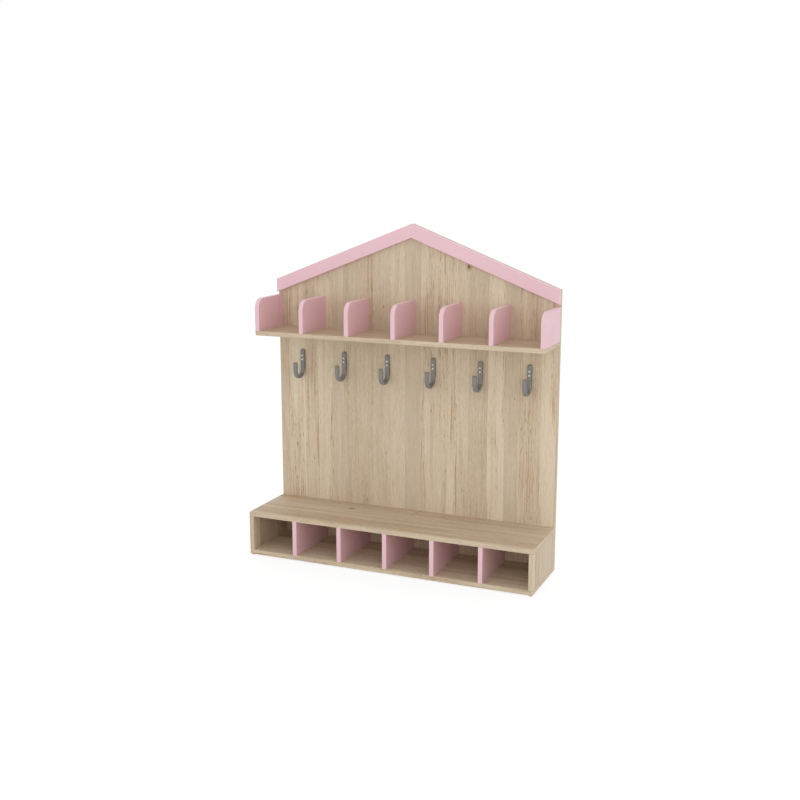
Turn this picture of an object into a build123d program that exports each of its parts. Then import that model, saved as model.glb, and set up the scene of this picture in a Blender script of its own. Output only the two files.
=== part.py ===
from build123d import *
import os
from math import atan2, cos, degrees

# Children's cloakroom unit: a shoe bench with six bays, a tall gabled back panel with six
# coat hooks, and a hat shelf with six bays, under two mitred strips of roof trim.
# Millimetres. +X runs to the right, +Y to the wall behind the unit, +Z up.
# The origin is on the floor, under the middle of the unit's footprint.

os.makedirs("parts", exist_ok=True)

# Boards: one stock thickness all through, with eased edges
unit_width = 1200.0
board = 18.0
edge_chamfer = 0.8

# Shoe bench, in front of the back panel
bench_depth = 285.0
bench_height = 178.0
bay_count = 6

# Back panel, measured up from its own foot
eaves_height = 1104.0
apex_height = 1338.0
trim_width = 50.0

# Hat shelf and its dividers
shelf_underside = 892.0
shelf_depth = 200.0
divider_height = 130.0
divider_corner = 42.0

# Coat hooks: a stout flat bar in the shape of a J, screwed to the panel
hook_places = (-491.0, -300.0, -107.0, 91.0, 288.0, 487.0)
hook_top = 814.0
hook_height = 116.0
hook_reach = 77.0
hook_tongue = 71.0
hook_width = 18.0
hook_bar = 12.0
hook_corner = 5.0
hook_screw_drops = (25.0, 41.0)

# Glides under the ends of the two outer uprights
glide_radius = 7.0
glide_height = 5.0
glide_inset = 9.0

# Loose tongues, glued into stopped grooves, half in a board's face and half in the next one's edge
tongue = 5.0
tongue_in_face = 8.0
tongue_in_edge = 12.0
tongue_stop = 30.0
trim_tongue_stop = 60.0

# Screws, each with many flat sides: radius of head, height of head, radius of shank, length
screw_sides = 10
panel_screw = (4.8, 2.4, 2.4, 50.0)
hook_screw = (3.8, 2.2, 1.9, 27.0)
crown_ease = 1.1
point_length = 4.0
point_taper = 20.0

# Places worked out from the sizes above
overall_depth = bench_depth + board
front_y = -overall_depth / 2
back_y = overall_depth / 2
panel_y = back_y - board
bench_y = front_y + bench_depth / 2
shelf_y = panel_y - shelf_depth / 2
foot_z = glide_height
base_top_z = foot_z + board
seat_z = foot_z + bench_height
seat_underside_z = seat_z - board
shelf_z = foot_z + shelf_underside
shelf_top_z = shelf_z + board
divider_z = shelf_top_z + divider_height / 2
hook_top_z = foot_z + hook_top
eaves_z = foot_z + eaves_height
apex_z = foot_z + apex_height
half_width = unit_width / 2
bay_pitch = (unit_width - board) / bay_count
upright_x = [board / 2 - half_width + bay_pitch * n for n in range(bay_count + 1)]
bay_x = [x + bay_pitch / 2 for x in upright_x[:-1]]
roof_pitch = atan2(apex_height - eaves_height, half_width)
roof_run = half_width / cos(roof_pitch)
trim_drop = trim_width / cos(roof_pitch)


def finish(block, name):
    """Label a finished piece and write its file."""
    block.part.label = name
    export_step(block.part, "parts/%s.step" % name)


def is_open(edge):
    """True if the edge stands clear in front of the back panel, so that it is eased."""
    return edge.center().Y < panel_y - edge_chamfer


# Tongues in the ends of the uprights: along the bottom board, the seat and the shelf
across_joint = tongue_in_face + tongue_in_edge
off_joint = (tongue_in_edge - tongue_in_face) / 2
with BuildPart() as base_tongues:
    with Locations([(x, bench_y, base_top_z + off_joint) for x in upright_x]):
        Box(tongue, bench_depth - 2 * tongue_stop, across_joint)
finish(base_tongues, "base_tongues")

with BuildPart() as seat_tongues:
    with Locations([(x, bench_y, seat_underside_z - off_joint) for x in upright_x]):
        Box(tongue, bench_depth - 2 * tongue_stop, across_joint)
finish(seat_tongues, "seat_tongues")

with BuildPart() as shelf_tongues:
    with Locations([(x, shelf_y, shelf_top_z + off_joint) for x in upright_x]):
        Box(tongue, shelf_depth - 2 * tongue_stop, across_joint)
finish(shelf_tongues, "shelf_tongues")

# Tongues between the back panel and the rear edges of the shelf's dividers
with BuildPart() as divider_tongues:
    with Locations([(x, panel_y - off_joint, divider_z) for x in upright_x]):
        Box(tongue, across_joint, divider_height - 2 * tongue_stop)
finish(divider_tongues, "divider_tongues")

# Tongues behind the roof trim, one to a slope, along the middle of each strip
with BuildPart() as trim_tongues:
    with BuildSketch(Plane.XZ.offset(-panel_y)):
        for side in (-1, 1):
            slope_middle = (side * half_width / 2, (eaves_z + apex_z - trim_drop) / 2)
            with Locations(Location(slope_middle, -side * degrees(roof_pitch))):
                Rectangle(roof_run - 2 * trim_tongue_stop, tongue)
    extrude(amount=tongue_in_face, both=True)
finish(trim_tongues, "trim_tongues")


def drawn_screw(sizes, countersunk):
    """Draw a screw point up, with its flat top, or a round head's underside, at the origin."""
    head_radius, head_height, shank_radius, length = sizes
    with BuildPart() as screw:
        with BuildSketch():
            RegularPolygon(head_radius, screw_sides)
        if countersunk:
            extrude(amount=head_height, taper=45)
        else:
            extrude(amount=-head_height)
            chamfer(screw.edges().group_by(Axis.Z)[0], crown_ease)
        with BuildSketch():
            RegularPolygon(shank_radius, screw_sides)
        extrude(amount=length - point_length)
        with BuildSketch(Plane.XY.offset(length - point_length)):
            RegularPolygon(shank_radius, screw_sides)
        extrude(amount=point_length, taper=point_taper)
    return screw.part


countersunk_screw = drawn_screw(panel_screw, countersunk=True)
round_screw = drawn_screw(hook_screw, countersunk=False)

# Through the panel from behind, into the rear edges of the level boards, one to a bay
with BuildPart() as bench_screws:
    for z in (foot_z + board / 2, seat_z - board / 2):
        with Locations([Plane(origin=(x, back_y, z), z_dir=(0, -1, 0)) for x in bay_x]):
            add(countersunk_screw)
finish(bench_screws, "bench_screws")

with BuildPart() as shelf_screws:
    z = shelf_z + board / 2
    with Locations([Plane(origin=(x, back_y, z), z_dir=(0, -1, 0)) for x in bay_x]):
        add(countersunk_screw)
finish(shelf_screws, "shelf_screws")

# Two to a hook, one above the other, through the bar into the panel
with BuildPart() as hook_screws:
    for drop in hook_screw_drops:
        heads = [(x, panel_y - hook_bar, hook_top_z - drop) for x in hook_places]
        with Locations([Plane(origin=head, z_dir=(0, 1, 0)) for head in heads]):
            add(round_screw)
finish(hook_screws, "hook_screws")


def cut_for(*fixings):
    """Cut a piece's grooves and holes with the tongues and screws that it takes."""
    for fixing in fixings:
        add(fixing.part, mode=Mode.SUBTRACT)


# Bench: bottom board, seat, and seven uprights between them
with BuildPart() as bench_bottom:
    with BuildSketch(Plane.XY.offset(foot_z)):
        with Locations((0, bench_y)):
            Rectangle(unit_width, bench_depth)
    extrude(amount=board)
    chamfer(bench_bottom.edges().filter_by(is_open), edge_chamfer)
    cut_for(base_tongues, bench_screws)
finish(bench_bottom, "bench_bottom")

with BuildPart() as bench_seat:
    with BuildSketch(Plane.XY.offset(seat_underside_z)):
        with Locations((0, bench_y)):
            Rectangle(unit_width, bench_depth)
    extrude(amount=board)
    chamfer(bench_seat.edges().filter_by(is_open), edge_chamfer)
    cut_for(seat_tongues, bench_screws)
finish(bench_seat, "bench_seat")

bench_names = ["bench_divider_%d" % n for n in range(1, bay_count)]
bench_names = ["bench_side_left"] + bench_names + ["bench_side_right"]
for name, x in zip(bench_names, upright_x):
    with BuildPart() as upright:
        with BuildSketch(Plane.XY.offset(base_top_z)):
            with Locations((x, bench_y)):
                Rectangle(board, bench_depth)
        extrude(amount=seat_underside_z - base_top_z)
        chamfer(upright.edges().filter_by(Axis.Z).group_by(Axis.Y)[0], edge_chamfer)
        cut_for(base_tongues, seat_tongues)
    finish(upright, name)

# Back panel: one gabled board from the glides' height up, grooved for all that it carries
with BuildPart() as back_panel:
    with BuildSketch(Plane.XZ.offset(-back_y)):
        with BuildLine():
            Polyline(
                (-half_width, foot_z),
                (half_width, foot_z),
                (half_width, eaves_z),
                (0, apex_z),
                (-half_width, eaves_z),
                close=True,
            )
        make_face()
    extrude(amount=board)
    chamfer(back_panel.edges().filter_by(Axis.Y, reverse=True), edge_chamfer)
    cut_for(bench_screws, shelf_screws, hook_screws, divider_tongues, trim_tongues)
finish(back_panel, "back_panel")

# Roof trim: two strips along the gable, mitred at the apex and cut plumb at the eaves
for name, side in (("roof_trim_left", -1), ("roof_trim_right", 1)):
    with BuildPart() as roof_trim:
        with BuildSketch(Plane.XZ.offset(-panel_y)):
            with BuildLine():
                Polyline(
                    (0, apex_z),
                    (side * half_width, eaves_z),
                    (side * half_width, eaves_z - trim_drop),
                    (0, apex_z - trim_drop),
                    close=True,
                )
            make_face()
        extrude(amount=board)
        front_edges = roof_trim.faces().sort_by(Axis.Y)[0].edges()
        off_mitre = front_edges.filter_by(lambda edge: abs(edge.center().X) > edge_chamfer)
        chamfer(off_mitre, edge_chamfer)
        cut_for(trim_tongues)
    finish(roof_trim, name)

# Hat shelf and its seven dividers, each with a rounded upper front corner
with BuildPart() as shelf_board:
    with BuildSketch(Plane.XY.offset(shelf_z)):
        with Locations((0, shelf_y)):
            Rectangle(unit_width, shelf_depth)
    extrude(amount=board)
    chamfer(shelf_board.edges().filter_by(is_open), edge_chamfer)
    cut_for(shelf_tongues, shelf_screws)
finish(shelf_board, "shelf_board")

shelf_names = ["shelf_divider_%d" % n for n in range(1, bay_count)]
shelf_names = ["shelf_end_left"] + shelf_names + ["shelf_end_right"]
for name, x in zip(shelf_names, upright_x):
    with BuildPart() as shelf_divider:
        with BuildSketch(Plane.YZ.offset(x)) as outline:
            with Locations((shelf_y, divider_z)):
                Rectangle(shelf_depth, divider_height)
            front_corners = outline.vertices().group_by(Axis.X)[0]
            fillet(front_corners.sort_by(Axis.Y)[-1], divider_corner)
        extrude(amount=board / 2, both=True)
        side_edges = shelf_divider.edges().filter_by(Axis.X, reverse=True).filter_by(is_open)
        off_shelf = side_edges.filter_by(lambda edge: edge.center().Z > shelf_top_z + edge_chamfer)
        chamfer(off_shelf, edge_chamfer)
        cut_for(shelf_tongues, divider_tongues)
    finish(shelf_divider, name)

# Coat hooks: the bar's centre line is drawn from the side and traced to its thickness
bend_radius = (hook_reach - hook_bar) / 2
hook_low_z = hook_top_z - hook_height
bend_z = hook_low_z + hook_bar / 2 + bend_radius
shank_y = panel_y - hook_bar / 2
for n, x in enumerate(hook_places, start=1):
    with BuildPart() as coat_hook:
        with BuildSketch(Plane.YZ.offset(x)):
            with BuildLine():
                shank = Line((shank_y, hook_top_z), (shank_y, bend_z))
                bend = JernArc(shank @ 1, shank % 1, bend_radius, -180)
                Line(bend @ 1, (shank_y - 2 * bend_radius, hook_low_z + hook_tongue))
            trace(line_width=hook_bar)
        extrude(amount=hook_width / 2, both=True)
        fillet(coat_hook.edges().filter_by(Axis.Y), hook_corner)
        cut_for(hook_screws)
    finish(coat_hook, "coat_hook_%d" % n)

# Glides: small plain discs
glide_x = half_width - glide_inset
glide_places = {
    "glide_front_left": (-glide_x, front_y + glide_inset),
    "glide_front_right": (glide_x, front_y + glide_inset),
    "glide_rear_left": (-glide_x, panel_y - glide_inset),
    "glide_rear_right": (glide_x, panel_y - glide_inset),
}
for name, place in glide_places.items():
    with BuildPart() as glide:
        with BuildSketch():
            with Locations(place):
                Circle(glide_radius)
        extrude(amount=glide_height)
    finish(glide, name)
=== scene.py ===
# %% [markdown]
# # A children's cloakroom unit
#
# The unit is a shoe bench, a gabled back panel with six coat hooks, and a hat shelf. Its boards
# come already cut to size, in the measured frame that the first cell loads. What is left is what
# a joiner calls the finish: boards with a printed oak face or a plain pink one, cast and coated
# hooks, screws with real drive recesses, and soft light.
#
# Everything is in metres. +X runs to the right, +Y to the wall, and +Z up.

# %% Load the measured frame
import math

import bpy
from mathutils import Matrix, Vector


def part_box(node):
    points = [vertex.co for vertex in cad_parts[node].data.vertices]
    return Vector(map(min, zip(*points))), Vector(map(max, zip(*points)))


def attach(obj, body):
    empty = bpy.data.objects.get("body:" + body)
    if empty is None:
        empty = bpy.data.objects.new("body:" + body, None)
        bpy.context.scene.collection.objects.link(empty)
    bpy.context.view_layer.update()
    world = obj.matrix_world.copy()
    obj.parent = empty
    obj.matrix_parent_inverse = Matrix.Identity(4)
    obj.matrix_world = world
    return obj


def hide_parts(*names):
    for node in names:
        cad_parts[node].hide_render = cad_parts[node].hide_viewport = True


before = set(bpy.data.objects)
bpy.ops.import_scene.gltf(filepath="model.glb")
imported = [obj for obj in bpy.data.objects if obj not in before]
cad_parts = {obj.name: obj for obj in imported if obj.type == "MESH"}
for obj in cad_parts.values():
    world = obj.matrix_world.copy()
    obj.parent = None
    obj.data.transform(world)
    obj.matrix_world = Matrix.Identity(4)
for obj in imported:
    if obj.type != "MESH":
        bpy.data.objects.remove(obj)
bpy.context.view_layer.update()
MM = 0.001

# %% [markdown]
# ## The camera
#
# The picture was taken from the right of the unit and a little above it, with the camera level
# from side to side. Place, turn and dip come from the unit's own straight edges: they are what
# makes this frame's corners fall where the picture has them. A 50 mm lens on a 36 mm sensor
# gives the same mild perspective.

# %% Camera
camera_place = (1.67315, -3.90761, 1.53811)
camera_turn_left = 0.4039
camera_dip = 0.202
camera_turn = (math.pi / 2 - camera_dip, 0, camera_turn_left)
lens_mm, sensor_mm = 50, 36
bpy.ops.object.camera_add(location=camera_place, rotation=camera_turn)
camera = bpy.context.object
camera.data.lens = lens_mm
camera.data.sensor_width = sensor_mm
bpy.context.scene.camera = camera
print("camera at", camera_place)

# %% [markdown]
# ## Node helpers
#
# A material is a small circuit, and a few helpers keep it readable. `node` adds one node, sets
# what it is told and feeds its sockets, either with a plain value or with a link. `sums` is a
# Math node, `mixed` blends two colours and `chosen` two numbers, and `ramped` is a smooth rise.
# Groups get their sockets from `new_group` and answer through `given_out`, so an effect is built
# once and then `placed` in every material that needs it.

# %% Node helpers
def node(tree, kind, feeds=None, **settings):
    """Add a node. A feed's value is a link if it is a socket, and a plain value if not."""
    made = tree.nodes.new(kind)
    for name, value in settings.items():
        setattr(made, name, value)
    for key, value in (feeds or {}).items():
        if isinstance(value, bpy.types.NodeSocket):
            tree.links.new(value, made.inputs[key])
        else:
            made.inputs[key].default_value = value
    return made


def sums(tree, operation, *values, clamp=False):
    """A Math node's result."""
    made = node(tree, "ShaderNodeMath", dict(enumerate(values)), operation=operation, use_clamp=clamp)
    return made.outputs[0]


def mixed(tree, factor, first, second):
    """Two colours blended by a factor."""
    feeds = {0: factor, 6: first, 7: second}
    return node(tree, "ShaderNodeMix", feeds, data_type="RGBA").outputs[2]


def chosen(tree, factor, first, second):
    """Two numbers blended by a factor."""
    return node(tree, "ShaderNodeMix", {0: factor, 2: first, 3: second}).outputs[0]


def ramped(tree, value, low, high):
    """A number's smooth rise from 0 to 1 between low and high."""
    feeds = {"Value": value, "From Min": low, "From Max": high}
    made = node(tree, "ShaderNodeMapRange", feeds, interpolation_type="SMOOTHSTEP")
    return made.outputs["Result"]


def new_group(name, inputs, outputs):
    """An empty node group with named sockets: returns its tree, input node and output node."""
    tree = bpy.data.node_groups.new(name, "ShaderNodeTree")
    for socket, kind in inputs.items():
        tree.interface.new_socket(socket, in_out="INPUT", socket_type="NodeSocket" + kind)
    for socket, kind in outputs.items():
        tree.interface.new_socket(socket, in_out="OUTPUT", socket_type="NodeSocket" + kind)
    return tree, tree.nodes.new("NodeGroupInput"), tree.nodes.new("NodeGroupOutput")


def placed(tree, group, feeds):
    """A group placed in a material, with its own values."""
    return node(tree, "ShaderNodeGroup", feeds, node_tree=group)


def given_out(tree, result, values):
    """Link a group's results to its output sockets."""
    for socket, value in values.items():
        tree.links.new(value, result.inputs[socket])


def linear(red, green, blue):
    """A colour as a paint card gives it, 0 to 255, turned into the light that it sends back."""
    shares = [c / 255 for c in (red, green, blue)]
    return [c / 12.92 if c < 0.04045 else ((c + 0.055) / 1.055) ** 2.4 for c in shares] + [1.0]


print("a card's mid grey sends back", round(linear(128, 128, 128)[0], 3), "of the light")

# %% [markdown]
# ## Where a board's edges are
#
# A faced board is a sandwich: printed film on both sides, and a thin band glued round the edges.
# Three things follow from how far a point is from the nearest edge. There is a hairline where
# the film meets the band, hands and shoes dull the very edge, and the ends of a board have their
# print turned along the band. In a box, the distance to each pair of faces is the half size less
# the coordinate. On the surface the smallest of the three is nought, so the middle one is the
# distance to the edge. The coordinates are turned first, so that local Z runs along the grain
# and local Y goes through the board: where Y is at its end, the point lies on a broad face.

# %% Group: board edges
face_depth = 0.7 * MM
end_depth = 1.2 * MM
end_share = 0.7
hairline_start = (0.7 * MM, 1.0 * MM)
hairline_stop = (1.1 * MM, 1.5 * MM)
handled_width = (2.6 * MM, 0.2 * MM)
scuffs_per_metre = 45.0
scuff_rise = (0.42, 0.66)

board_edges, given, result = new_group(
    "Board edges",
    {"Vector": "Vector", "Half Size": "Vector"},
    {"Broad Face": "Float", "End Face": "Float", "Band Line": "Float", "Handling": "Float"},
)
t = board_edges
outward = node(t, "ShaderNodeVectorMath", {0: given.outputs["Vector"]}, operation="ABSOLUTE")
inward_feeds = {0: given.outputs["Half Size"], 1: outward.outputs[0]}
inward = node(t, "ShaderNodeVectorMath", inward_feeds, operation="SUBTRACT")
parts = node(t, "ShaderNodeSeparateXYZ", {0: inward.outputs[0]}).outputs
smallest = sums(t, "MINIMUM", sums(t, "MINIMUM", parts[0], parts[1]), parts[2])
largest = sums(t, "MAXIMUM", sums(t, "MAXIMUM", parts[0], parts[1]), parts[2])
total = sums(t, "ADD", sums(t, "ADD", parts[0], parts[1]), parts[2])
edge_distance = sums(t, "SUBTRACT", sums(t, "SUBTRACT", total, smallest), largest)
nearest_side = sums(t, "MINIMUM", parts[0], parts[1])
end_face = sums(t, "LESS_THAN", parts[2], sums(t, "MULTIPLY", nearest_side, end_share))
near_end = sums(t, "LESS_THAN", parts[2], end_depth)
broad_face = sums(t, "LESS_THAN", parts[1], face_depth)
past_start, past_stop = [ramped(t, edge_distance, *rise) for rise in (hairline_start, hairline_stop)]
band_line = sums(t, "SUBTRACT", past_start, past_stop)
scuff_feeds = {"Vector": given.outputs["Vector"], "Scale": scuffs_per_metre, "Detail": 4.0}
scuffs = node(t, "ShaderNodeTexNoise", scuff_feeds)
edge_closeness = ramped(t, edge_distance, *handled_width)
handling = sums(t, "MULTIPLY", edge_closeness, ramped(t, scuffs.outputs["Fac"], *scuff_rise))
end_face = sums(t, "MULTIPLY", end_face, near_end)
edge_masks = {"Broad Face": broad_face, "End Face": end_face, "Band Line": band_line, "Handling": handling}
given_out(t, result, edge_masks)
print("group", board_edges.name)

# %% [markdown]
# ## The printed oak: its staves
#
# The pale boards aren't solid wood. They carry a print of staves laid side by side, each as long
# as the board, some creamy, some greyer, and some with brown heart streaks. A one-dimensional
# Voronoi texture gives staves of uneven width: its cells lie along one axis, and each has its
# own random colour, whose three channels choose the stave's tone, its warmth and where its
# streaks start. The grain wanders a little on its way, and a knot pushes it aside. On the end of
# a board the directions change places, as they do in an edge band.

# %% Stave print: staves and knot
stave_unevenness = 0.8
start_spread = 7.3
wander_per_metre = 2.6
wander_width = 16 * MM
knot_flatness = 0.6
parting_reach, parting_core = 42 * MM, 3 * MM
parting_share = 0.7

stave_print, given, result = new_group(
    "Stave print",
    {
        "Vector": "Vector",
        "Broad Face": "Float",
        "End Face": "Float",
        "Seed": "Float",
        "Stave Width": "Float",
        "Tone": "Float",
        "Bands": "Float",
        "Knot": "Vector",
        "Pale": "Color",
        "Deep": "Color",
        "Grey": "Color",
        "Heart": "Color",
    },
    {"Color": "Color", "Fibre": "Float", "Height": "Float"},
)
t = stave_print
asked = given.outputs


def swing(value, amount, middle=0.5):
    """A value's swing about its middle, times an amount."""
    return sums(t, "MULTIPLY", sums(t, "SUBTRACT", value, middle), amount)


spot = node(t, "ShaderNodeSeparateXYZ", {0: asked["Vector"]}).outputs
across = chosen(t, asked["End Face"], spot[0], spot[1])
depth = chosen(t, asked["End Face"], spot[1], spot[2])
along = chosen(t, asked["End Face"], spot[2], spot[0])

stave_at = sums(t, "ADD", sums(t, "DIVIDE", across, asked["Stave Width"]), asked["Seed"])
stave_feeds = {"W": stave_at, "Scale": 1.0, "Randomness": stave_unevenness}
stave = node(t, "ShaderNodeTexVoronoi", stave_feeds, voronoi_dimensions="1D")
chance = node(t, "ShaderNodeSeparateColor", {0: stave.outputs["Color"]}).outputs
stave_tone, stave_warmth = chance[0], chance[1]
start = sums(t, "ADD", sums(t, "MULTIPLY", chance[2], start_spread), asked["Seed"])
wander_at = sums(t, "ADD", sums(t, "MULTIPLY", along, wander_per_metre), start)
wander_feeds = {"W": wander_at, "Scale": 1.0, "Detail": 1.0}
wander = node(t, "ShaderNodeTexNoise", wander_feeds, noise_dimensions="1D").outputs["Fac"]
swung = sums(t, "ADD", across, swing(wander, wander_width))

knot = node(t, "ShaderNodeSeparateXYZ", {0: asked["Knot"]}).outputs
off_knot = sums(t, "SUBTRACT", across, knot[0])
up_knot = sums(t, "MULTIPLY", sums(t, "SUBTRACT", along, knot[2]), knot_flatness)
up_squared = sums(t, "MULTIPLY", up_knot, up_knot)
knot_distance = sums(t, "SQRT", sums(t, "MULTIPLY_ADD", off_knot, off_knot, up_squared))
parted = sums(t, "MULTIPLY", off_knot, ramped(t, knot_distance, parting_reach, parting_core))
swung = sums(t, "SUBTRACT", swung, sums(t, "MULTIPLY", parted, parting_share))
print("a stave's own channels", [channel.name for channel in chance])

# %% [markdown]
# ## The printed oak: its grain
#
# Grain is noise that is drawn out along the board, with many bumps to a metre across and few
# along. Five scales of it give clouds as wide as a hand, growth bands, streaks, flecks and
# fibres. A noise swings about its middle, and what each swing adds makes one tone, which blends
# the deep oak with the pale. The glued edge bands have a tone of their own, without staves.

# %% Stave print: grain
def stretched(per_metre_across, per_metre_along, detail=2.0, roughness=0.5):
    """Noise that is drawn out along the grain and starts afresh in each stave."""
    drawn = node(
        t,
        "ShaderNodeCombineXYZ",
        {
            0: sums(t, "MULTIPLY", swung, per_metre_across),
            1: sums(t, "MULTIPLY", depth, per_metre_across),
            2: sums(t, "ADD", sums(t, "MULTIPLY", along, per_metre_along), start),
        },
    ).outputs[0]
    feeds = {"Vector": drawn, "Scale": 1.0, "Detail": detail, "Roughness": roughness}
    return node(t, "ShaderNodeTexNoise", feeds).outputs["Fac"]


clouds = stretched(26, 4.5)
bands = stretched(60, 1.3, 3.0, 0.6)
streaks = stretched(230, 4.5, 4.0, 0.65)
flecks = stretched(400, 55, 2.0, 0.6)
fibres = stretched(1100, 30)

stave_swing = 0.6
cloud_swing = 0.5
least_streak_swing, streaks_per_band = 1.1, 0.35
fleck_swing = 1.2
fibre_swing = 0.4
edge_band_tone = 0.52

streak_swing = sums(t, "MULTIPLY_ADD", asked["Bands"], streaks_per_band, least_streak_swing)
tone = sums(t, "ADD", asked["Tone"], swing(stave_tone, stave_swing))
tone = sums(t, "ADD", tone, swing(bands, asked["Bands"]))
tone = chosen(t, asked["Broad Face"], edge_band_tone, tone)
for grain, amount in ((clouds, cloud_swing), (streaks, streak_swing), (flecks, fleck_swing)):
    tone = sums(t, "ADD", tone, swing(grain, amount))
tone = sums(t, "ADD", tone, swing(fibres, fibre_swing), clamp=True)
wood = mixed(t, tone, asked["Deep"], asked["Pale"])
print("the grain so far takes", len(t.nodes), "nodes")

# %% [markdown]
# ## The printed oak: heartwood, pips and knots
#
# What makes the print look like oak is what breaks its evenness. A stave with much warmth turns
# a little grey. In one with little warmth, zones of heartwood show thin brown lines that run far
# and dark dashes that don't. Pips are the small red-brown specks where twigs once were: cells of
# a flat Voronoi texture, of which only a few get one. A knot has a dark core and a soft halo.

# %% Stave print: marks
dark_fibre = linear(134, 100, 72)
pip_brown = linear(126, 82, 56)
grey_warmth, heart_warmth = (0.6, 0.8), (0.45, 0.25)
grey_most = 0.45
heart_least, heart_gain = 0.4, 0.6
line_least, line_gain = 0.12, 0.65
dash_most = 0.9
pips_across, pips_along = 9.0, 3.6
pip_size = (0.028, 0.010)
pip_luck = 0.78
pip_depth = 0.6
halo_size, core_size = (15 * MM, 4 * MM), (6 * MM, 3 * MM)
halo_depth = 0.4
zone_rise, line_rise, dash_rise = (0.46, 0.6), (0.52, 0.64), (0.58, 0.69)
fleck_relief = 0.6

heart_lines = stretched(330, 3.5, 2.0, 0.5)
heart_dashes = stretched(330, 26, 2.0, 0.6)
heart_zones = stretched(36, 1.5, 1.0)
greyed = sums(t, "MULTIPLY", ramped(t, stave_warmth, *grey_warmth), grey_most)
wood = mixed(t, greyed, wood, asked["Grey"])
heartwood = ramped(t, stave_warmth, *heart_warmth)
heart_share = sums(t, "MULTIPLY_ADD", heartwood, heart_gain, heart_least)
heart_share = sums(t, "MULTIPLY", heart_share, ramped(t, heart_zones, *zone_rise))
line_mask = sums(t, "MULTIPLY_ADD", ramped(t, heart_lines, *line_rise), line_gain, line_least)
wood = mixed(t, sums(t, "MULTIPLY", line_mask, heart_share), wood, asked["Heart"])
dash_mask = sums(t, "MULTIPLY", ramped(t, heart_dashes, *dash_rise), dash_most)
wood = mixed(t, sums(t, "MULTIPLY", dash_mask, heart_share), wood, dark_fibre)

pip_column = sums(t, "MULTIPLY", swung, pips_across)
pip_row = sums(t, "ADD", sums(t, "MULTIPLY", along, pips_along), asked["Seed"])
pip_spot = node(t, "ShaderNodeCombineXYZ", {0: pip_column, 1: pip_row}).outputs[0]
pips = node(t, "ShaderNodeTexVoronoi", {"Vector": pip_spot, "Scale": 1.0}, voronoi_dimensions="2D")
pip_chance = node(t, "ShaderNodeSeparateColor", {0: pips.outputs["Color"]}).outputs[0]
pip_core = ramped(t, pips.outputs["Distance"], *pip_size)
pip_mask = sums(t, "MULTIPLY", pip_core, sums(t, "GREATER_THAN", pip_chance, pip_luck))
wood = mixed(t, sums(t, "MULTIPLY", pip_mask, pip_depth), wood, pip_brown)
knot_halo = sums(t, "MULTIPLY", ramped(t, knot_distance, *halo_size), halo_depth)
knot_core = ramped(t, knot_distance, *core_size)
wood = mixed(t, sums(t, "MAXIMUM", knot_halo, knot_core), wood, pip_brown)

relief = sums(t, "ADD", fibres, sums(t, "MULTIPLY", flecks, fleck_relief))
given_out(t, result, {"Color": wood, "Fibre": fibres, "Height": relief})
print("group", stave_print.name, "with", len(t.nodes), "nodes")

# %% [markdown]
# ## Boards as materials
#
# Every board has its own size and its own piece of the print, so every board has its own
# material with its own values in the same groups. A Mapping node moves the board's middle to
# nought and turns it, so that local Z runs along the grain. For an upright board nothing turns
# but which way its face looks. A level board is turned so that its length becomes Z.

# %% Board material
GRAIN_TURNS = {
    "up, seen from the front": Matrix.Identity(3),
    "up, seen from the side": Matrix(((0, 1, 0), (-1, 0, 0), (0, 0, 1))),
    "level": Matrix(((0, 1, 0), (0, 0, 1), (1, 0, 0))),
}


def board_material(name, low, high, turn):
    """A new material, its shader, and its board's local coordinates and edges."""
    material = bpy.data.materials.new(name)
    material.use_nodes = True
    tree = material.node_tree
    shader = tree.nodes["Principled BSDF"]
    middle = (low + high) / 2
    half = turn @ ((high - low) / 2)
    place = tree.nodes.new("ShaderNodeTexCoord").outputs["Object"]
    moves = {"Vector": place, "Location": -(turn @ middle), "Rotation": turn.to_euler()}
    spot = node(tree, "ShaderNodeMapping", moves).outputs[0]
    edges = placed(tree, board_edges, {"Vector": spot, "Half Size": [abs(h) for h in half]})
    return material, tree, shader, spot, edges.outputs


def dress(name, material):
    """Give a board from the frame its material."""
    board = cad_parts[name]
    board.data.materials.clear()
    board.data.materials.append(material)


print("grain can run", ", ".join(GRAIN_TURNS))

# %% [markdown]
# ## Six oak boards
#
# Each board gets its seed, which chooses its piece of the print, a tone and the strength of its
# growth bands. Level boards show more of these, because one looks along them. A board without a
# knot has its knot nine metres away. Between film and edge band lies a brown hairline of glue,
# and handled edges have gone pale and dull. The film's pores are pressed in to a tenth of a
# millimetre, so the relief is a bump and no geometry.

# %% Oak boards
pale_oak = linear(219, 203, 177)
deep_oak = linear(185, 165, 139)
grey_oak = linear(200, 184, 162)
heart_oak = linear(172, 136, 102)
stave_width = 68 * MM
film_relief, film_strength, film_gloss = 0.10 * MM, 0.35, 0.35
glue_line_depth, edge_paleness = 0.35, 0.15
least_roughness, fibre_roughness, edge_roughness = 0.40, 0.22, 0.12


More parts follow.
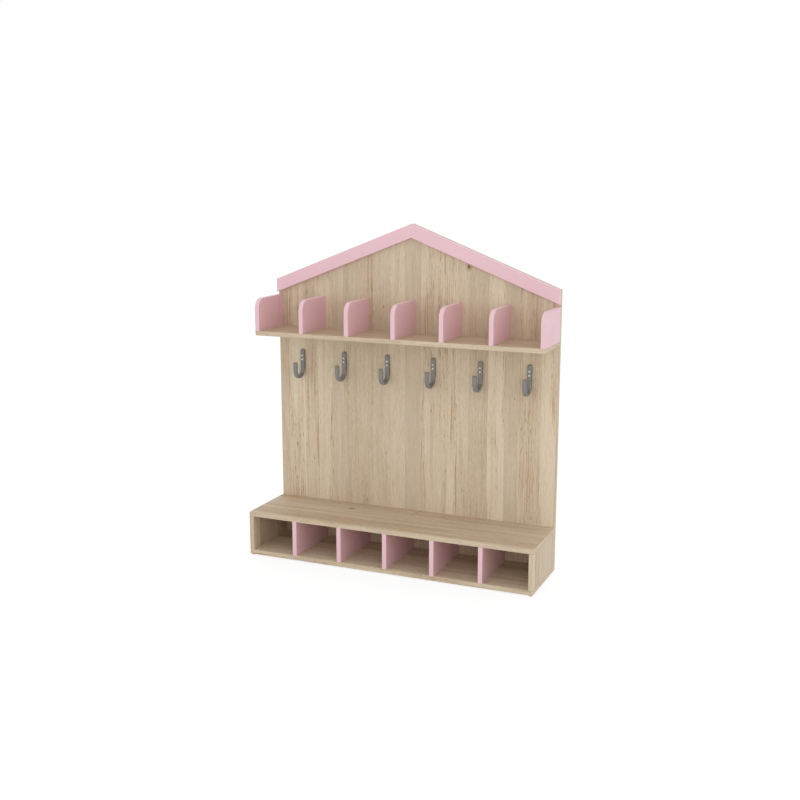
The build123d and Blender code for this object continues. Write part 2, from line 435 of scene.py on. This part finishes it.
def oak_board(name, low, high, direction, seed, tone, bands, knot):
    """The printed oak on one board: grain direction, piece of print, tone, bands and knot."""
    turn = GRAIN_TURNS[direction]
    material, tree, shader, spot, edges = board_material("oak_" + name, low, high, turn)
    print_feeds = {
        "Vector": spot,
        "Broad Face": edges["Broad Face"],
        "End Face": edges["End Face"],
        "Seed": seed,
        "Stave Width": stave_width,
        "Tone": tone,
        "Bands": bands,
        "Knot": knot,
        "Pale": pale_oak,
        "Deep": deep_oak,
        "Grey": grey_oak,
        "Heart": heart_oak,
    }
    printed = placed(tree, stave_print, print_feeds).outputs
    glue_line = sums(tree, "MULTIPLY", edges["Band Line"], glue_line_depth)
    lined = mixed(tree, glue_line, printed["Color"], heart_oak)
    worn = mixed(tree, sums(tree, "MULTIPLY", edges["Handling"], edge_paleness), lined, pale_oak)
    tree.links.new(worn, shader.inputs["Base Color"])
    rough = sums(tree, "MULTIPLY_ADD", printed["Fibre"], fibre_roughness, least_roughness)
    rough = sums(tree, "MULTIPLY_ADD", edges["Handling"], edge_roughness, rough)
    tree.links.new(rough, shader.inputs["Roughness"])
    pores = {"Height": printed["Height"], "Strength": film_strength, "Distance": film_relief}
    tree.links.new(node(tree, "ShaderNodeBump", pores).outputs[0], shader.inputs["Normal"])
    shader.inputs["Specular IOR Level"].default_value = film_gloss
    return material


no_knot = (9, 0, 9)
panel_knot = (234 * MM, 0, 509 * MM)
seat_knot = (64 * MM, 0, -236 * MM)
oak_boards = {
    "back_panel": ("up, seen from the front", 867.2, 0.62, 0.25, panel_knot),
    "bench_seat": ("level", 21.7, 0.42, 1.3, seat_knot),
    "bench_bottom": ("level", 37.2, 0.74, 1.3, no_knot),
    "shelf_board": ("level", 52.9, 0.32, 1.3, no_knot),
    "bench_side_left": ("up, seen from the side", 64.3, 0.42, 0.6, no_knot),
    "bench_side_right": ("up, seen from the side", 80.6, 0.56, 0.6, no_knot),
}
for name, (direction, seed, tone, bands, knot) in oak_boards.items():
    dress(name, oak_board(name, *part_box(name), direction, seed, tone, bands, knot))
print("oak boards", len(oak_boards))

# %% [markdown]
# ## Skins
#
# Film, powder coat, zinc and moulded plastic have two things in common. Their tone drifts slowly
# from place to place, and their surface has a fine grain. One group gives both as masks, and
# each finish decides what they do. The drift is a low noise, the grain a high one.

# %% Group: skin
skin, given, result = new_group(
    "Skin",
    {"Vector": "Vector", "Drift Scale": "Float", "Grain Scale": "Float"},
    {"Drift": "Float", "Grain": "Float"},
)
drift_rise = (0.3, 0.7)
slow = {"Vector": given.outputs["Vector"], "Scale": given.outputs["Drift Scale"], "Detail": 3.0}
fast = {"Vector": given.outputs["Vector"], "Scale": given.outputs["Grain Scale"], "Detail": 2.0}
drift = ramped(skin, node(skin, "ShaderNodeTexNoise", slow).outputs["Fac"], *drift_rise)
grain = node(skin, "ShaderNodeTexNoise", fast).outputs["Fac"]
given_out(skin, result, {"Drift": drift, "Grain": grain})
print("group", skin.name)

# %% [markdown]
# ## The pink boards
#
# The dividers and the roof trim are faced with plain film and edged with a band. Seen close, such
# film is never quite flat: rolled on a press, it has a fine orange-peel skin, and its colour
# drifts by a shade over a hand's breadth. The faces have pinks of their own: the trim's and the
# right end's are their film in full light, and the other dividers' are darker and warmer, which
# is painted shade from the bays they stand in. The very edges are a touch paler where handled.

# %% Pink boards
pink = linear(230, 193, 200)
pink_drift = linear(228, 190, 198)
pink_worn = linear(236, 211, 214)
# Face pinks: the first two are film in full light, the last two are darker and warmer, painted shade from
# the bays.
trim_pink = linear(233, 195, 203)
end_pink = linear(232, 193, 202)
shelf_pink_painted_shade = linear(224, 184, 189)
bench_pink_painted_shade = linear(222, 180, 182)
peel, peel_strength, pink_gloss = 0.05 * MM, 0.4, 0.4
pink_drifts, peel_grains = 9.0, 620.0
drift_share, hairline_share, handled_share = 0.5, 0.3, 0.6
pink_roughness = (0.38, 0.5)


def pink_board(name, low, high, face_pink_and_shade, seen_from="side"):
    """The pink band round one board's edges, and its faces in a given pink, which on dividers in the bays
    is painted shade.
    """
    turn = GRAIN_TURNS["up, seen from the " + seen_from]
    material, tree, shader, spot, edges = board_material("pink_" + name, low, high, turn)
    scales = {"Vector": spot, "Drift Scale": pink_drifts, "Grain Scale": peel_grains}
    masks = placed(tree, skin, scales).outputs
    colour = mixed(tree, edges["Broad Face"], pink, face_pink_and_shade)
    colour = mixed(tree, sums(tree, "MULTIPLY", masks["Drift"], drift_share), colour, pink_drift)
    colour = mixed(tree, sums(tree, "MULTIPLY", edges["Band Line"], hairline_share), colour, pink_drift)
    colour = mixed(tree, sums(tree, "MULTIPLY", edges["Handling"], handled_share), colour, pink_worn)
    tree.links.new(colour, shader.inputs["Base Color"])
    tree.links.new(chosen(tree, masks["Drift"], *pink_roughness), shader.inputs["Roughness"])
    orange_peel = {"Height": masks["Grain"], "Strength": peel_strength, "Distance": peel}
    tree.links.new(node(tree, "ShaderNodeBump", orange_peel).outputs[0], shader.inputs["Normal"])
    shader.inputs["Specular IOR Level"].default_value = pink_gloss
    return material


trim_names = ["roof_trim_left", "roof_trim_right"]
bench_divider_names = ["bench_divider_%d" % n for n in range(1, 6)]
for name in trim_names:
    dress(name, pink_board(name, *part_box(name), trim_pink, "front"))
# The bench dividers' faces get the darker, warmer pink: painted shade from their bays.
for name in bench_divider_names:
    dress(name, pink_board(name, *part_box(name), bench_pink_painted_shade))
print("pink boards dressed", len(trim_names + bench_divider_names))

# %% [markdown]
# ## Coats, metals and plastic
#
# The small pieces need no grain direction, so one function makes all their finishes from the
# skin group: two tones for the drift, two roughnesses, and a relief for the grain. Powder coat
# is baked dust, and it keeps a pebbled surface. Bright zinc is smooth with a cloudy sheen.

# %% Small finishes
small_drifts = 60.0
grain_strength = 0.5


def small_finish(name, tones, roughness, grains, relief, metallic=0.0):
    """A finish whose tone and roughness drift between two values each."""
    material = bpy.data.materials.new(name)
    material.use_nodes = True
    tree = material.node_tree
    shader = tree.nodes["Principled BSDF"]
    spot = tree.nodes.new("ShaderNodeTexCoord").outputs["Object"]
    scales = {"Vector": spot, "Drift Scale": small_drifts, "Grain Scale": grains}
    masks = placed(tree, skin, scales).outputs
    tree.links.new(mixed(tree, masks["Drift"], *tones), shader.inputs["Base Color"])
    tree.links.new(chosen(tree, masks["Drift"], *roughness), shader.inputs["Roughness"])
    pebbles = {"Height": masks["Grain"], "Strength": grain_strength, "Distance": relief}
    tree.links.new(node(tree, "ShaderNodeBump", pebbles).outputs[0], shader.inputs["Normal"])
    shader.inputs["Metallic"].default_value = metallic
    return material


coat_greys = linear(132, 131, 129), linear(125, 124, 122)
bright_greys = linear(240, 240, 238), linear(226, 227, 228)
zinc_yellows = linear(200, 172, 112), linear(172, 142, 86)
plastic_pinks = linear(231, 197, 204), linear(224, 186, 196)
birch_tones = linear(226, 204, 168), linear(206, 178, 138)
zinc = {"grains": 2500.0, "relief": 0.02 * MM}
hook_coat = small_finish("hook_coat", coat_greys, (0.36, 0.46), grains=1500.0, relief=0.06 * MM)
bright_zinc = small_finish("bright_zinc", bright_greys, (0.3, 0.42), metallic=0.6, **zinc)
yellow_zinc = small_finish("yellow_zinc", zinc_yellows, (0.3, 0.44), metallic=0.8, **zinc)
pink_plastic = small_finish("pink_plastic", plastic_pinks, (0.42, 0.52), grains=1800.0, relief=0.04 * MM)
birch = small_finish("birch", birch_tones, (0.55, 0.7), grains=900.0, relief=0.08 * MM)
for name in ("base", "seat", "shelf", "divider", "trim"):
    dress(name + "_tongues", birch)
print("materials so far", len(bpy.data.materials))

# %% [markdown]
# ## Ways of working
#
# These are the moves that every modelled piece needs. `pick` selects by place, as one would by
# eye: corners, or those edges that are sharp or open. A bevel can only ease what is selected,
# and a place in the measured frame still holds when a size is changed later. `modified` adds a
# modifier and applies it at once, and `cut` takes one piece out of another.

# %% Modelling helpers: select and cut
def pick(kind, test, sharp=40):
    """Select the vertices, or the sharp edges by their middles, that pass a test of their place."""
    bpy.ops.object.mode_set(mode="EDIT")
    bpy.ops.mesh.select_mode(type=kind)
    bpy.ops.mesh.select_all(action="SELECT")
    if kind == "EDGE":
        bpy.ops.mesh.select_all(action="DESELECT")
        bpy.ops.mesh.edges_select_sharp(sharpness=math.radians(sharp))
        bpy.ops.mesh.select_non_manifold(extend=True)
    bpy.ops.object.mode_set(mode="OBJECT")
    mesh = bpy.context.object.data
    corners = mesh.vertices
    if kind == "VERT":
        wanted = [v for v in corners if test(v.co)]
    else:
        middles = [(e, (corners[e.vertices[0]].co + corners[e.vertices[1]].co) / 2) for e in mesh.edges]
        wanted = [e for e, middle in middles if e.select and test(middle)]
    wanted = [element.index for element in wanted]
    bpy.ops.object.mode_set(mode="EDIT")
    bpy.ops.mesh.select_all(action="DESELECT")
    bpy.ops.object.mode_set(mode="OBJECT")
    for index in wanted:
        (corners if kind == "VERT" else mesh.edges)[index].select = True
    bpy.ops.object.mode_set(mode="EDIT")


def modified(kind, **settings):
    """Add a modifier to the active object, set it and apply it."""
    bpy.ops.object.modifier_add(type=kind)
    made = bpy.context.object.modifiers[-1]
    for name, value in settings.items():
        setattr(made, name, value)
    bpy.ops.object.modifier_apply(modifier=made.name)


def cut(piece, cutter):
    """Cut a piece with another one, and throw the cutter away."""
    bpy.context.view_layer.objects.active = piece
    modified("BOOLEAN", operation="DIFFERENCE", object=cutter, solver="EXACT")
    bpy.data.objects.remove(cutter)


bpy.ops.object.select_all(action="DESELECT")
print("nothing is selected:", not bpy.context.selected_objects)

# %% [markdown]
# ## Finish, copy, hand over
#
# `softened` shades a piece: weighted normals keep its broad faces flat, so that only the edges
# catch the light. Hooks and screws are bought by the dozen and all alike, so one is made with
# care and `copy_of` lays out the rest. `hand_over` names a finished piece, fixes it to the unit
# and hides the node it stands for.

# %% Modelling helpers: finish and hand over
def softened(piece, crease=35):
    """Shade a piece smooth up to a crease angle, with its broad faces kept flat."""
    bpy.ops.object.select_all(action="DESELECT")
    piece.select_set(True)
    bpy.context.view_layer.objects.active = piece
    bpy.ops.object.shade_smooth_by_angle(angle=math.radians(crease))
    modified("WEIGHTED_NORMAL", keep_sharp=True)


def copy_of(piece, shift):
    """A moved copy with its own mesh, its origin back at the frame's origin."""
    bpy.ops.object.select_all(action="DESELECT")
    piece.select_set(True)
    bpy.context.view_layer.objects.active = piece
    bpy.ops.object.duplicate_move(TRANSFORM_OT_translate={"value": shift})
    bpy.ops.object.transform_apply(location=True, rotation=False, scale=False)
    return bpy.context.object


def hand_over(piece, name, material, stands_for):
    """Name and dress a finished piece, fix it to the unit, and hide the node it stands for."""
    piece.name = name
    piece.data.name = name
    piece.data.materials.clear()
    piece.data.materials.append(material)
    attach(piece, "root")
    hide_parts(stands_for)


def middle_of(name):
    """The middle of a node's box."""
    low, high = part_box(name)
    return (low + high) / 2


hook_middles = [middle_of("coat_hook_%d" % n).x for n in range(1, 7)]
print("hooks stand at", [round(x, 3) for x in hook_middles])

# %% [markdown]
# ## The coat hooks: a ribbon
#
# Each hook is a stout bar in the shape of a J, cast in metal with well-rounded edges that don't
# hurt a coat or a hand, and then powder-coated. One could sweep a section along a curve. Here a
# flat ribbon is the bar's middle layer, so that every step can be seen: its lower edge is swung
# half round the bend's axis with Spin, and drawn up again as the tongue. The four corners at its
# two ends are rounded while it is thin, because a vertex bevel is enough for that.

# %% Coat hooks: ribbon
hook_low, hook_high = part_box("coat_hook_1")
bar = 12 * MM
tongue_rise = 71 * MM
corner, corner_steps = 5 * MM, 6
bend_steps = 24
bend_radius = (hook_high.y - hook_low.y - bar) / 2
bend_z = hook_low.z + bar / 2 + bend_radius
shank_y = hook_high.y - bar / 2
hook_x = (hook_low.x + hook_high.x) / 2
tongue_top = hook_low.z + tongue_rise

shank_middle = (hook_x, shank_y, (hook_high.z + bend_z) / 2)
tipped_up = (math.pi / 2, 0, 0)
bpy.ops.mesh.primitive_plane_add(size=1, location=shank_middle, rotation=tipped_up)
hook = bpy.context.object
hook.scale = (hook_high.x - hook_low.x, hook_high.z - bend_z, 1)
bpy.ops.object.transform_apply(location=True, rotation=True, scale=True)

pick("EDGE", lambda middle: middle.z < bend_z + MM)
bend_axis = (hook_x, shank_y - bend_radius, bend_z)
bpy.ops.mesh.spin(steps=bend_steps, angle=math.pi, center=bend_axis, axis=(1, 0, 0))
tongue_draw = tongue_top - bend_z
bpy.ops.mesh.extrude_region_move(TRANSFORM_OT_translate={"value": (0, 0, tongue_draw)})
pick("VERT", lambda place: place.z > hook_high.z - MM or abs(place.z - tongue_top) < MM / 10)
bpy.ops.mesh.bevel(offset=corner, segments=corner_steps, affect="VERTICES")
bpy.ops.object.mode_set(mode="OBJECT")
print("the ribbon has", len(hook.data.polygons), "faces")

# %% [markdown]
# ## The coat hooks: a bar
#
# Solidify gives the ribbon its thickness, half to each side. A wide bevel then rounds all the
# edges, apart from those that lie on the panel, because a casting is flat where it seats. The
# holes come last: they are drilled from the front, through the bar and past the panel's face.
# One hook is made, and five copies of it stand where the picture shows them.

# %% Coat hooks: bar
rounding, rounding_steps = 4.2 * MM, 5
hole_radius, hole_steps = 2 * MM, 24
drill_length = 4 * bar
screw_drops = (25 * MM, 41 * MM)

modified("SOLIDIFY", thickness=bar, offset=0, use_even_offset=True)
pick("EDGE", lambda middle: middle.y < hook_high.y - MM / 10)
bpy.ops.mesh.bevel(offset=rounding, segments=rounding_steps, affect="EDGES")
bpy.ops.object.mode_set(mode="OBJECT")
for drop in screw_drops:
    hole = (hook_x, shank_y, hook_high.z - drop)
    bpy.ops.mesh.primitive_cylinder_add(
        vertices=hole_steps, radius=hole_radius, depth=drill_length, location=hole, rotation=tipped_up
    )
    cut(hook, bpy.context.object)
softened(hook)

hooks = [hook] + [copy_of(hook, (x - hook_x, 0, 0)) for x in hook_middles[1:]]
for n, made in enumerate(hooks, start=1):
    hand_over(made, "hook_%d" % n, hook_coat, "coat_hook_%d" % n)
print("hooks", len(hooks), "faces each", len(hook.data.polygons))

# %% [markdown]
# ## Lathe and punch
#
# A screw is turned work: a profile drawn point by point on one side of the axis, and swung
# right round it. Its head has a cross recess, pressed by a punch that narrows as it goes in, so
# the recess is cut by two bars with their inner ends drawn together. A modelled recess keeps its
# shadow at any distance, which a bump on the head wouldn't do.

# %% Lathe and punch
def turned(profile, place, axis, steps=36, weld=0.01 * MM):
    """Turn a profile of (radius, distance along the axis) in mm about an axis through a place."""
    ways = [(Vector((radius, 0, 0)) * MM, Vector(axis) * along * MM) for radius, along in profile]
    points = [place + outward + onward for outward, onward in ways]
    bpy.ops.mesh.primitive_plane_add(size=MM)
    bpy.ops.object.mode_set(mode="EDIT")
    bpy.ops.mesh.select_mode(type="VERT")
    bpy.ops.mesh.merge(type="CENTER")
    bpy.ops.transform.translate(value=points[0])
    for here, there in zip(points, points[1:]):
        bpy.ops.mesh.extrude_region_move(TRANSFORM_OT_translate={"value": there - here})
    bpy.ops.mesh.select_all(action="SELECT")
    bpy.ops.mesh.spin(steps=steps, angle=2 * math.pi, center=place, axis=axis)
    bpy.ops.mesh.select_all(action="SELECT")
    bpy.ops.mesh.remove_doubles(threshold=weld)
    bpy.ops.mesh.normals_make_consistent(inside=False)
    bpy.ops.object.mode_set(mode="OBJECT")
    return bpy.context.object


def punched(screw, place, inward, reach, thickness, depth, taper=0.5):
    """Press a cross recess, in mm, into a head whose top is at the place."""
    deep_end = 0.9 * depth * MM
    for width, height in ((reach, thickness), (thickness, reach)):
        bpy.ops.mesh.primitive_cube_add(size=2, location=place)
        prong = bpy.context.object
        prong.scale = [side / 2 * MM for side in (width, 2 * depth, height)]
        bpy.ops.object.transform_apply(location=True, rotation=False, scale=True)
        pick("EDGE", lambda middle: (middle.y - place.y) * inward > deep_end)
        bpy.ops.transform.resize(value=(taper, 1, taper))
        bpy.ops.object.mode_set(mode="OBJECT")
        cut(screw, prong)


head_seat = shank_y - bar / 2
print("hook screws seat at y", round(head_seat, 4))

# %% [markdown]
# ## Hook screws
#
# Two screws with domed heads hold each hook, and they are the two bright points that show on it.
# A low dome is made by upsetting wire in a round die. The profile follows it with six short
# steps, then turns in to the shank, which has its core diameter and ends in a blunt point. The
# twelve are copies of one screw that stands in the first hole.

# %% Hook screws
dome, shank_radius, shank_end, point = 2.2, 1.9, 23, (0.45, 27)
domed = [(0, -dome), (1.0, -2.13), (1.9, -1.9), (2.7, -1.5), (3.3, -0.95), (3.7, -0.3), (3.8, 0)]
domed += [(shank_radius, 0), (shank_radius, shank_end), point, (0, point[1])]
place = Vector((hook_x, head_seat, hook_high.z - screw_drops[0]))
hook_screw = turned(domed, place, (0, 1, 0))
dome_top = place - Vector((0, dome * MM, 0))
punched(hook_screw, dome_top, inward=1, reach=3.6, thickness=0.9, depth=1.5)
softened(hook_screw, 40)
hook_screws = []
for x in hook_middles:
    for drop in screw_drops:
        hook_screws.append(copy_of(hook_screw, (x - hook_x, 0, screw_drops[0] - drop)))
bpy.data.objects.remove(hook_screw)
for n, made in enumerate(hook_screws, start=1):
    hand_over(made, "hook_screw_%d" % n, bright_zinc, "hook_screws")
print("hook screws", len(hook_screws), "faces each", len(hook_screws[0].data.polygons))

# %% [markdown]
# ## Panel screws
#
# From behind, a row of countersunk screws goes through the panel into each of the three level
# boards, one to a bay. Their cone draws into the panel until the head lies flush, so the profile
# starts at the panel's back and narrows at once. Only the heads can be seen, but the shanks are
# there too, because each screw is a real piece that one can take out and look at.

# %% Panel screws
back_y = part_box("back_panel")[1].y
proud, shank_radius, shank_end, point = 0.05, 2.4, 46, (0.6, 50)
flush = [(0, -proud), (4.7, -proud), (4.86, 0.02), (4.8, 0.2), (shank_radius, 2.6)]
flush += [(shank_radius, shank_end), point, (0, point[1])]
bays = 6
first_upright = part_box("bench_side_left")
second_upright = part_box("bench_divider_1")
bay_pitch = second_upright[0].x - first_upright[0].x
first_bay = (first_upright[1].x + second_upright[0].x) / 2
screwed_boards = ("bench_bottom", "bench_seat", "shelf_board")
rows = [middle_of(name).z for name in screwed_boards]
place = Vector((first_bay, back_y, rows[0]))
panel_screw = turned(flush, place, (0, -1, 0))
head_top = place + Vector((0, proud * MM, 0))
punched(panel_screw, head_top, inward=-1, reach=5.4, thickness=1.1, depth=1.9)
softened(panel_screw, 40)
panel_screws = []
for z, node_name in zip(rows, ("bench_screws", "bench_screws", "shelf_screws")):
    for bay in range(bays):
        made = copy_of(panel_screw, (bay * bay_pitch, 0, z - rows[0]))
        panel_screws.append(made)
        hand_over(made, "panel_screw_%d" % len(panel_screws), yellow_zinc, node_name)
bpy.data.objects.remove(panel_screw)
print("panel screws", len(panel_screws), "faces each", len(panel_screws[0].data.polygons))

# %% [markdown]
# ## Glides
#
# Four small moulded discs keep the bench off a wet floor. Like the screws they are turned: a
# plain rim, a rounded lower edge that slides over joints in the floor, and a shallow dimple
# underneath, so that only a ring of the disc rests.

# %% Glides
disc_radius, disc_height, eased_rim, lower_edge = 7, 5, 0.2, 1.4
quarter_turn = [math.pi / 8 * step for step in range(5)]
edge_middle = disc_radius - lower_edge
rounded = [(edge_middle + lower_edge * math.cos(a), lower_edge * (1 - math.sin(a))) for a in quarter_turn]
rim = [(disc_radius - eased_rim, disc_height), (disc_radius, disc_height - eased_rim)]
dimple = [(3.4, 0), (2.4, 0.3), (0, 0.45)]
disc = [(0, disc_height)] + rim + rounded + dimple
for name in ("front_left", "front_right", "rear_left", "rear_right"):
    low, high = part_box("glide_" + name)
    place = Vector(((low.x + high.x) / 2, (low.y + high.y) / 2, 0))
    glide = turned(disc, place, (0, 0, 1))
    softened(glide, 50)
    hand_over(glide, "disc_" + name, pink_plastic, "glide_" + name)
print("glides, faces each", len(glide.data.polygons))

# %% [markdown]
# ## The hat shelf's dividers
#
# Each divider is a small board with one generous rounded corner, so that no child meets a sharp
# one. A plane gets its corner from a vertex bevel, Solidify makes it a board, and a narrow bevel
# eases the edges that a hand can reach. The edges that meet the shelf and the panel stay sharp,
# because there the joint has to close.

# %% Shelf dividers
shelf_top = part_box("shelf_board")[1].z
panel_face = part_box("shelf_board")[1].y
divider_corner, divider_corner_steps = 42 * MM, 20
eased_edge, eased_steps = 0.8 * MM, 3
divider_names = ["shelf_divider_%d" % n for n in range(1, 6)]
divider_names = ["shelf_end_left"] + divider_names + ["shelf_end_right"]
for name in divider_names:
    low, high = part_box(name)
    bpy.ops.mesh.primitive_plane_add(size=1, location=(low + high) / 2, rotation=(0, math.pi / 2, 0))
    divider = bpy.context.object
    divider.scale = (high.z - low.z, high.y - low.y, 1)
    bpy.ops.object.transform_apply(location=True, rotation=True, scale=True)
    pick("VERT", lambda place: place.y < low.y + MM and place.z > high.z - MM)
    bpy.ops.mesh.bevel(offset=divider_corner, segments=divider_corner_steps, affect="VERTICES")
    bpy.ops.object.mode_set(mode="OBJECT")
    modified("SOLIDIFY", thickness=high.x - low.x, offset=0)
    near_side = (high.x - low.x) / 2 - MM
    pick(
        "EDGE",
        lambda middle: abs(middle.x - (low.x + high.x) / 2) > near_side
        and middle.z > shelf_top + MM
        and middle.y < panel_face - MM,
    )
    bpy.ops.mesh.bevel(offset=eased_edge, segments=eased_steps, affect="EDGES")
    bpy.ops.object.mode_set(mode="OBJECT")
    softened(divider, 30)
    # Every divider but the right end gets the darker pink, painted shade from the bays; the right end's
    # outer face keeps a lighter pink.
    face_pink_and_shade = end_pink if name == "shelf_end_right" else shelf_pink_painted_shade
    hand_over(divider, name + "_board", pink_board(name, low, high, face_pink_and_shade), name)
print("shelf dividers", len(divider_names))

# %% [markdown]
# ## The floor
#
# A pale floor and a white surround stand in for a studio. Light Path tells both who is asking:
# the camera, mirrors and glass see plain white, and the rest sees a softer one, so that nothing
# clips. The floor is a matt white card that shines a little for those who look at it, which
# leaves only a faint shadow. It is the stage and no piece of the unit.

# %% Floor
floor_side = 400
card_white = (0.86, 0.86, 0.86, 1)
card_glow, glow_share = 1.12, 0.72
pure_white = (1, 1, 1, 1)


def looked_at(tree):
    """1 for what the camera, a mirror or a glass looks at, and 0 for what only lights."""
    rays = tree.nodes.new("ShaderNodeLightPath").outputs
    seen = sums(tree, "ADD", rays["Is Camera Ray"], rays["Is Glossy Ray"], clamp=True)
    return sums(tree, "ADD", seen, rays["Is Transmission Ray"], clamp=True)


bpy.ops.mesh.primitive_plane_add(size=floor_side, location=(0, 0, 0))
floor = bpy.context.object
floor.name = "floor"
card = bpy.data.materials.new("floor_card")
card.use_nodes = True
t = card.node_tree
t.nodes.remove(t.nodes["Principled BSDF"])
matt = node(t, "ShaderNodeBsdfDiffuse", {"Color": card_white})
glow = node(t, "ShaderNodeEmission", {"Color": pure_white, "Strength": card_glow})
share = sums(t, "MULTIPLY", looked_at(t), glow_share)
blend = node(t, "ShaderNodeMixShader", {0: share, 1: matt.outputs[0], 2: glow.outputs[0]})
t.links.new(blend.outputs[0], t.nodes["Material Output"].inputs["Surface"])
floor.data.materials.append(card)
print("floor", [round(side) for side in floor.dimensions])

# %% [markdown]
# ## Light
#
# The surround gives almost all the light, evenly from every side, as a tent of white cloth does.
# One large soft lamp stands in front and to the right, and lifts the faces that are turned to
# it. It is weak and wide, so that no hard shadow tells where it is. The Standard view shows each
# colour as the paint card gives it.

# %% Light
surround_level, white_level = 0.96, 1.0
world = bpy.data.worlds.new("studio_surround")
bpy.context.scene.world = world
world.use_nodes = True
t = world.node_tree
sky = t.nodes["Background"]
sky.inputs["Color"].default_value = pure_white
t.links.new(chosen(t, looked_at(t), surround_level, white_level), sky.inputs["Strength"])

lamp_place, lamp_aim = Vector((2.6, -4.6, 1.5)), Vector((0, 0, 0.6))
lamp_width, lamp_height, lamp_watts = 3.2, 2.6, 32
bpy.ops.object.light_add(type="AREA", location=lamp_place)
lamp = bpy.context.object
lamp.name = "soft_lamp"
lamp.data.shape = "RECTANGLE"
lamp.data.size = lamp_width
lamp.data.size_y = lamp_height
lamp.data.energy = lamp_watts
lamp.rotation_euler = (lamp_aim - lamp_place).to_track_quat("-Z", "Y").to_euler()
bpy.context.scene.view_settings.view_transform = "Standard"
print("lamp", round((lamp_place - lamp_aim).length, 2), "m away")
